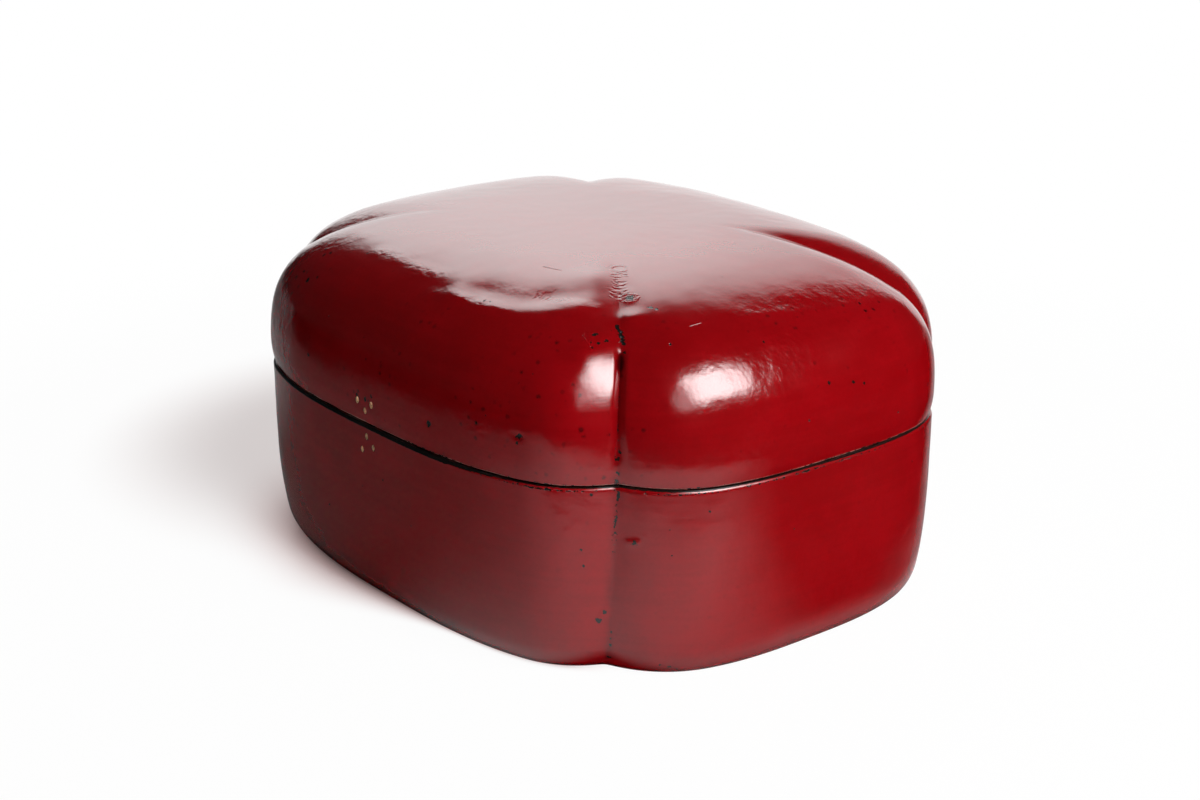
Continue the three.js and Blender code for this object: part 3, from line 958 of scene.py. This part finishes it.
class BODY_OT_coat(bpy.types.Operator):
    """Lays the red coat over the outside of the body"""

    bl_idname = "lacquer_box.body_coat"
    bl_label = "Body Coat"

    def execute(self, context):
        box = context.scene.lacquer_box
        form, work = box.form, box.work
        profile = body_coat_profile(form)
        angles = stations(form, form.stations, pins=5)
        rings = swing(form, profile, angles, crease_turn(form, angles, profile.z), cut=0.0)
        outside = (profile.scale == 1) & (profile.inset < 4.5 * MM) | (profile.z < FOOT_ROUND)
        shown = outside * smooth_step(profile.z, 0.5 * MM, 6 * MM)
        rings, bare = lay_by_hand(rings, shown, work, 3, BODY_MARKS, pin_places("body_pin"))
        worn_and_shaded_foot = smooth_step(rings[..., 0], 118 * MM, 60 * MM)
        # painted shade: a black band over the top of the body's rim under the lid, thin at the right end,
        # where the gap lies in shade
        seam_shade_band = (0.28 + 1.1 * smooth_step(rings[..., 0], 110 * MM, 40 * MM)) * MM
        bare = np.maximum.reduce([
            bare,
            crease_wear(form, rings, angles, 11),
            edge_wear(rings, form.seam - 1.2 * MM, 0.9 * MM, 13),
            worn_and_shaded_foot * edge_wear(rings, 1.5 * MM, 2.0 * MM, 14),
            1.3 * smooth_step(rings[..., 2] - form.seam + seam_shade_band, -0.15 * MM, 0.15 * MM),
        ])
        # soot and painted shade in the creases, and painted shade along the bottom edge of the foot except at
        # its right end
        near = near_crease(form, angles, 1.5)
        foot_shade = smooth_step(profile.z, 2.5 * MM, 0.3 * MM)[:, None] * worn_and_shaded_foot
        soot = np.maximum(0.35 * near, foot_shade * 1.3)
        layers = {"bare": bare[::-1], "soot": soot[::-1]}
        coat = skin("body_coat", rings[::-1], layers)
        nodes = ["base_board"] + [f"wall_stave_{side}" for side in SIDES]
        dress(coat, "body", red_lacquer("red_lacquer_body", box.finish, BODY_WEAR), nodes)
        return {"FINISHED"}


class BODY_OT_lining(bpy.types.Operator):
    """Lines the inside of the body with black lacquer"""

    bl_idname = "lacquer_box.body_lining"
    bl_label = "Body Lining"

    def execute(self, context):
        box = context.scene.lacquer_box
        profile = body_lining_profile(box.form)
        rings = swing(box.form, profile, stations(box.form, LINING_STATIONS))
        lining = skin("body_lining", brushed_on(rings, 21))
        dress(lining, "body", black_lacquer("black_lacquer_body", box.finish))
        return {"FINISHED"}


class BODY_OT_lips(bpy.types.Operator):
    """Glues the four lip strips inside the body"""

    bl_idname = "lacquer_box.lips"
    bl_label = "Lip Strips"

    def execute(self, context):
        box = context.scene.lacquer_box
        form = box.form
        material = black_lacquer("black_lacquer_lip", box.finish)
        section = lip_section(form)
        for number, side in enumerate(SIDES):
            start, end = lobe_ends(form, side)
            mitre = math.radians(0.07)
            angles = np.linspace(start + mitre, end - mitre, 90)
            rings = swing(form, section, angles).transpose(1, 0, 2)
            wobble = 0.06 * MM * waves(rings, 25 * MM, 31 + number)
            rings += grid_normals(rings) * np.minimum(wobble, 0)[..., None]
            strip = skin(f"lip_{side}", rings)
            dress(strip, "body", material, [f"lip_strip_{side}"])
        return {"FINISHED"}


class LID_OT_coat(bpy.types.Operator):
    """Lays the red coat over the outside of the lid"""

    bl_idname = "lacquer_box.lid_coat"
    bl_label = "Lid Coat"

    def execute(self, context):
        box = context.scene.lacquer_box
        form, work = box.form, box.work
        profile = lid_coat_profile(form)
        angles = stations(form, form.stations, pins=5)
        fade = np.ones((len(profile.z), len(angles)))
        fade[:CROWN_RINGS] = crown_fade(profile.scale[:CROWN_RINGS], angles)
        backing = len(BACKING_SHARES)
        fade[-backing:] = crown_fade(profile.scale[-backing:], angles)
        sink = by_corner(angles, "sink")
        over_seam = profile.z[:, None] - form.seam
        cut = smooth_step(over_seam, 4 * MM, 30 * MM) * smooth_step(over_seam, 57.5 * MM, 52 * MM)
        rings = swing(form, profile, angles, crease_turn(form, angles, profile.z), fade, sink, cut)
        shown = 1.0 * (np.arange(len(profile.z)) < CROWN_RINGS + WALL_RINGS + 3)
        rings, bare = lay_by_hand(rings, shown, work, 7, LID_MARKS, pin_places("lid_pin"))
        bare = np.maximum.reduce([
            bare,
            crease_wear(form, rings, angles, 17) * fade,
            edge_wear(rings, form.seam + 1.0 * MM, 0.7 * MM, 19),
        ])
        # soot and painted shade down the creases, black near their heads
        near = near_crease(form, angles, 1.5)
        bottom = near_crease(form, angles, 0.8)
        high = smooth_step(over_seam, 47 * MM, 51 * MM)
        soot = np.maximum(0.4 * near, (0.55 + 0.85 * high) * bottom * cut) * fade
        # painted highlight: a pale line on the lid's lower edge, brighter and dimmer in runs
        rub = bell(rings[..., 2] - form.seam - 0.8 * MM, 0.45 * MM)
        rub *= 0.7 + 0.5 * waves(rings, 18 * MM, 27, octaves=1)
        coat = skin("lid_coat", rings, {"bare": bare, "soot": soot, "rub": rub},
                    crease_columns(form, angles), np.count_nonzero(over_seam > 9 * MM))
        nodes = ["lid_crown"] + [f"lid_stave_{side}" for side in SIDES]
        dress(coat, "lid", red_lacquer("red_lacquer_lid", box.finish, LID_WEAR), nodes)
        return {"FINISHED"}


class LID_OT_lining(bpy.types.Operator):
    """Lines the hollow of the lid with black lacquer"""

    bl_idname = "lacquer_box.lid_lining"
    bl_label = "Lid Lining"

    def execute(self, context):
        box = context.scene.lacquer_box
        profile = lid_lining_profile(box.form)
        angles = stations(box.form, LINING_STATIONS)
        fade = np.ones((len(profile.z), len(angles)))
        backing = len(BACKING_SHARES)
        fade[:backing] = crown_fade(profile.scale[:backing], angles)
        fade[-CEILING_RINGS:] = crown_fade(profile.scale[-CEILING_RINGS:], angles)
        rings = swing(box.form, profile, angles, fade=fade)
        lining = skin("lid_lining", brushed_on(rings, 23))
        dress(lining, "lid", black_lacquer("black_lacquer_lid", box.finish))
        return {"FINISHED"}


class PINS_OT_stubs(bpy.types.Operator):
    """Sets the six cut brass pins"""

    bl_idname = "lacquer_box.pins"
    bl_label = "Pin Stubs"

    def execute(self, context):
        box = context.scene.lacquer_box
        material = cut_brass("cut_brass", box.finish)
        for body in ("body", "lid"):
            for name in pin_places(f"{body}_pin"):
                dress(pin_stub(name), body, material, [name])
        return {"FINISHED"}


PIN_POINTS = 32


def pin_stub(node):
    """A lens-shaped shank whose cut end is filed to a low dome and stands just out of the lacquer."""
    low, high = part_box(node)
    middle = (low + high) / 2
    half_width, half_height = (high.x - low.x) / 2, (high.z - low.z) / 2
    around = np.linspace(0, 2 * np.pi, PIN_POINTS, endpoint=False)
    lens_z = np.sin(around)
    lens_x = np.sign(np.cos(around)) * (1 - lens_z**2) ** 0.85
    front = low.y - 0.45 * MM
    sections = (
        (0.3, front), (0.6, front + 0.02 * MM), (0.86, front + 0.08 * MM), (0.96, front + 0.16 * MM),
        (1.0, front + 0.3 * MM), (1.0, middle.y), (1.0, high.y), (0.3, high.y))
    rings = []
    for size, y in sections:
        x, z = middle.x + lens_x * half_width * size, middle.z + lens_z * half_height * size
        rings.append(np.stack([x, np.full(PIN_POINTS, y), z], -1))
    return skin(f"{node}_stub", np.array(rings))


class Card(NamedTuple):
    """A soft light: its name and level, where it stands in degrees and metres, its size and its edges."""

    name: str
    level: str
    azimuth: float
    elevation: float
    distance: float
    size: tuple
    soft: tuple
    skew: float = 0.0


COLOUR_CARDS = (
    Card("key_light", "key_level", 95, 36, 1.63, (1.16, 1.16), (0.22, 0.22)),
    Card("back_light", "back_level", -132, 29, 1.5, (1.4, 1.45), (0.1, 0.1)),
)
GLOSS_CARDS = (
    Card("key_gleam", "gleam", 96.3, 43.1, 1.63, (1.5, 1.28), (0.35, 0.3)),
    Card("key_spill", "spill", 87, 43, 1.7, (2.2, 1.8), (0.16, 0.3), 0.6),
)


class STAGE_OT_studio(bpy.types.Operator):
    """Sets the floor, the lights and the camera"""

    bl_idname = "lacquer_box.studio"
    bl_label = "Studio"

    def execute(self, context):
        studio = context.scene.lacquer_box.studio
        context.scene.view_settings.view_transform = "Standard"
        add_camera(studio)
        add_floor()
        add_world()
        for card in COLOUR_CARDS:
            add_card(card, getattr(studio, card.level)).visible_glossy = False
        for card in GLOSS_CARDS:
            add_card(card, getattr(studio, card.level)).visible_diffuse = False
        return {"FINISHED"}


AIM_HEIGHT = 0.06


def direction(azimuth, elevation):
    """Unit vector towards an azimuth, where 0 is the front and the angle grows to the right."""
    level = math.cos(elevation)
    return Vector((math.sin(azimuth) * level, -math.cos(azimuth) * level, math.sin(elevation)))


def add_camera(studio):
    camera = add_object("camera", bpy.data.cameras.new("camera"))
    camera.data.lens = studio.lens
    camera.data.sensor_width = 36
    camera.location = studio.camera_place
    towards = -direction(studio.azimuth, studio.elevation)
    camera.rotation_euler = towards.to_track_quat("-Z", "Y").to_euler()
    bpy.context.scene.camera = camera


def add_card(card, radiance):
    """A rectangular light that faces the box, dimmer over the soft shares at its edges and cut by a skew."""
    lamp = bpy.data.lights.new(card.name, "AREA")
    lamp.shape = "RECTANGLE"
    lamp.size, lamp.size_y = card.size
    lamp.energy = radiance * card.size[0] * card.size[1] * math.pi
    board = Board(lamp)
    face = board.node("ShaderNodeNewGeometry", out="Parametric")
    glow = 1.0
    for axis, fall in zip(((1, 0, 0), (0, 1, 0)), card.soft):
        share = board.along(face, axis)
        glow = board.step(share, 0, fall) * board.step(1 - share, 0, fall) * glow
    if card.skew:
        glow = glow * board.step(board.along(face, (1, -card.skew, 0)) + card.skew / 2, 0.05, 0.3)
    board.node("ShaderNodeOutputLight", None, {"Surface": board.emit(WHITE, glow)})
    light = add_object(card.name, lamp)
    away = direction(math.radians(card.azimuth), math.radians(card.elevation))
    light.location = away * card.distance + Vector((0, 0, AIM_HEIGHT))
    light.rotation_euler = (-away).to_track_quat("-Z", "Y").to_euler()
    light.visible_camera = False
    return light


FLOOR_HALF = 12.0
FOOT_LENGTH, FOOT_WIDTH, FOOT_POWER = 0.154, 0.124, 2.9
FOOT_EDGE, FOOT_SCALE = 0.938, 0.14
# level directions on the stage: to the far side of the box as the camera first sees it, and to its left
FAR = (-0.737, 0.676, 0)
LEFTWARD = (-0.676, -0.737, 0)
WHITE = (1, 1, 1, 1)
# painted tints of the floor's shadow: pink in the shade zone, red bounce light by the foot
SHADOW_PINK = (1, 0.93, 0.92, 1)
RED_BOUNCE = (1, 0.7, 0.68, 1)
PAPER = (0.9, 0.9, 0.9, 1)
BRIGHTEST = 2.0
ROOM = 0.02


def beyond_foot(board, here):
    """How far a place on the floor is from the foot of the box, about in metres."""
    x, y = board.along(here, (1 / FOOT_LENGTH, 0, 0)), board.along(here, (0, 1 / FOOT_WIDTH, 0))
    share = (x * x).raised(FOOT_POWER / 2) + (y * y).raised(FOOT_POWER / 2)
    return (share.raised(1 / FOOT_POWER) - FOOT_EDGE) * FOOT_SCALE


def mirrored_floor(board, here, away, from_foot):
    """How bright gloss sees the floor: lit and dark patches, fitted to what the box mirrors in one view."""
    length = board.along(here, (1, 0, 0))
    ahead = (board.along(here, (0, -1, 0)) - 0.1).at_least(0)
    side = (length + 0.01 + ahead * 0.6) / (0.11 + ahead * 1.9)
    behind = board.step(board.along(here, (0.363, -0.932, 0)) - 0.058, -0.02, 0.1)
    nearer = board.step(away - 0.18 * board.step(length, 0.2, 0.05), 0.45, 0.28)
    front = board.step(side, 0, 1) * behind * nearer
    left = board.step(length, 0.05, -0.1) * board.step(away, 0.66, 0.42)
    forward, across = board.along(here, FAR), board.along(here, LEFTWARD)
    to_right, to_left = across + forward * 0.6, across - forward * 0.5
    rear = board.step(forward, 0.05, 0.2) * board.step(to_right, -0.1, 0.0) * board.step(to_left, 0.1, 0.0)
    beside = board.step(forward, -0.09, -0.03) * board.step(to_right, -0.25, -0.18)
    beside = beside * board.step(to_left, 0.18, 0.08)
    wing = board.step(board.along(here, (-0.287, 1, 0)), -0.13, -0.02) * board.step(length, -0.2, -0.35)
    end = board.step(from_foot, 0.028, 0.012) * board.step(length, 0.06, 0.12)
    end = end * board.step(board.along(here, (0, 1, 0)), -0.05, 0.0)
    lit = left * 0.1 + front * 1.1 + rear * 0.65 + beside * 0.35 + wing * 0.18 + end * 0.35
    return lit * board.step(from_foot, 0.001, 0.012)


def add_floor():
    """A pale floor: white to the camera but for the shadow by the box, which shows through drawn zones in
    painted pink and red, lit in patches to gloss.
    """
    size = FLOOR_HALF
    corners = [(-size, -size, 0), (size, -size, 0), (size, size, 0), (-size, size, 0)]
    mesh = bpy.data.meshes.new("floor")
    mesh.from_pydata(corners, [], [(0, 1, 2, 3)])
    floor = add_object("floor", mesh)
    material = bpy.data.materials.new("floor")
    board = Board(material)
    here = board.place()
    away = board.vector("LENGTH", {0: here}, "Value")
    from_foot = beyond_foot(board, here)
    length = board.along(here, (1, 0, 0))
    reach = 0.006 + 0.052 * board.step(length, 0.055, -0.055)
    # drawn contact shadow: by the foot on the left the camera's white gives way to the paper, whose real
    # shadow shows
    contact_shadow = (1 - from_foot.at_least(0) / reach).at_least(0).raised(3)
    contact_shadow = contact_shadow * board.step(length, 0.12, 0.07) * 1.3
    shaded = board.step(board.away(here, (-170, 10, 0)), 0.19, 0.09)
    lift = (0.97 - shaded * 0.42) * (1 - contact_shadow * 0.8)
    lift = lift + (1 - lift) * board.step(away, 0.35, 0.6)
    # painted shadow colour: pink over the drawn shade zone and red, as painted bounce light, by the foot
    shadow_tint = board.mix(contact_shadow, board.mix(shaded, WHITE, SHADOW_PINK), RED_BOUNCE)
    paper = board.node("ShaderNodeBsdfDiffuse", None, {"Color": PAPER})
    plain = board.blend(board.ray("Is Camera Ray") * lift, paper, board.emit(shadow_tint))
    pool = mirrored_floor(board, here, away, from_foot) * (1 - contact_shadow).at_least(0)
    lit = board.blend(pool / BRIGHTEST, board.emit(WHITE, 0.0), board.emit(WHITE, BRIGHTEST))
    surface = board.blend(board.ray("Is Glossy Ray"), plain, lit)
    board.node("ShaderNodeOutputMaterial", None, {"Surface": surface})
    mesh.materials.append(material)


def add_world():
    """White to the camera, a dim room to the rest, and to gloss a backdrop brighter than white behind."""
    world = bpy.data.worlds.new("studio")
    bpy.context.scene.world = world
    board = Board(world)
    ray = board.node("ShaderNodeTexCoord", out="Generated")
    forward = board.along(ray, FAR)
    height = board.along(ray, (0, 0, 1)) / forward
    offset = board.along(ray, LEFTWARD) / forward
    top = 0.76 + 0.16 * board.step(offset, -0.4, -0.2) + 0.23 * board.step(offset, -0.1, 0.15)
    side = offset + 0.1 * board.step(height, 0.35, 0.1)
    inside = board.step(height - top, 0.2, -0.28) * board.step(offset, 0.54, 0.34)
    inside = inside * board.step(side, -0.58, -0.42)
    rise = 0.3 + 2.0 * board.step(offset, -0.3, 0.25) - 0.55 * board.step(offset, 0.05, 0.25)
    glow = 1.3 + board.step(height, 0.0, 0.65) * rise
    backdrop = (forward > 0) * inside * glow
    mirrored = board.ray("Is Glossy Ray") + board.ray("Is Transmission Ray")
    strength = ROOM + board.ray("Is Camera Ray") * (1 - ROOM) + mirrored * backdrop
    sky = board.node("ShaderNodeBackground", None, {"Color": WHITE, "Strength": strength})
    board.node("ShaderNodeOutputWorld", None, {"Surface": sky})


class LacquerBox(bpy.types.PropertyGroup):
    """Everything that a user would change."""

    form: PointerProperty(type=BoxForm)
    work: PointerProperty(type=HandWork)
    finish: PointerProperty(type=Finish)
    studio: PointerProperty(type=Studio)


OPERATORS = (
    BODY_OT_coat, BODY_OT_lining, BODY_OT_lips, LID_OT_coat, LID_OT_lining, PINS_OT_stubs, STAGE_OT_studio)


class VIEW3D_PT_lacquer_box(bpy.types.Panel):
    """Lists the steps that build the box"""

    bl_label = "Lacquer Box"
    bl_space_type = "VIEW_3D"
    bl_region_type = "UI"
    bl_category = "Lacquer Box"

    def draw(self, context):
        for operator in OPERATORS:
            self.layout.operator(operator.bl_idname)


CLASSES = (BoxForm, HandWork, Finish, Studio, LacquerBox, *OPERATORS, VIEW3D_PT_lacquer_box)


def register():
    for item in CLASSES:
        bpy.utils.register_class(item)
    bpy.types.Scene.lacquer_box = PointerProperty(type=LacquerBox)


def unregister():
    del bpy.types.Scene.lacquer_box
    for item in reversed(CLASSES):
        bpy.utils.unregister_class(item)


def main():
    register()
    bpy.ops.lacquer_box.body_coat()
    bpy.ops.lacquer_box.body_lining()
    bpy.ops.lacquer_box.lips()
    bpy.ops.lacquer_box.lid_coat()
    bpy.ops.lacquer_box.lid_lining()
    bpy.ops.lacquer_box.pins()
    bpy.ops.lacquer_box.studio()


if __name__ == "__main__":
    main()
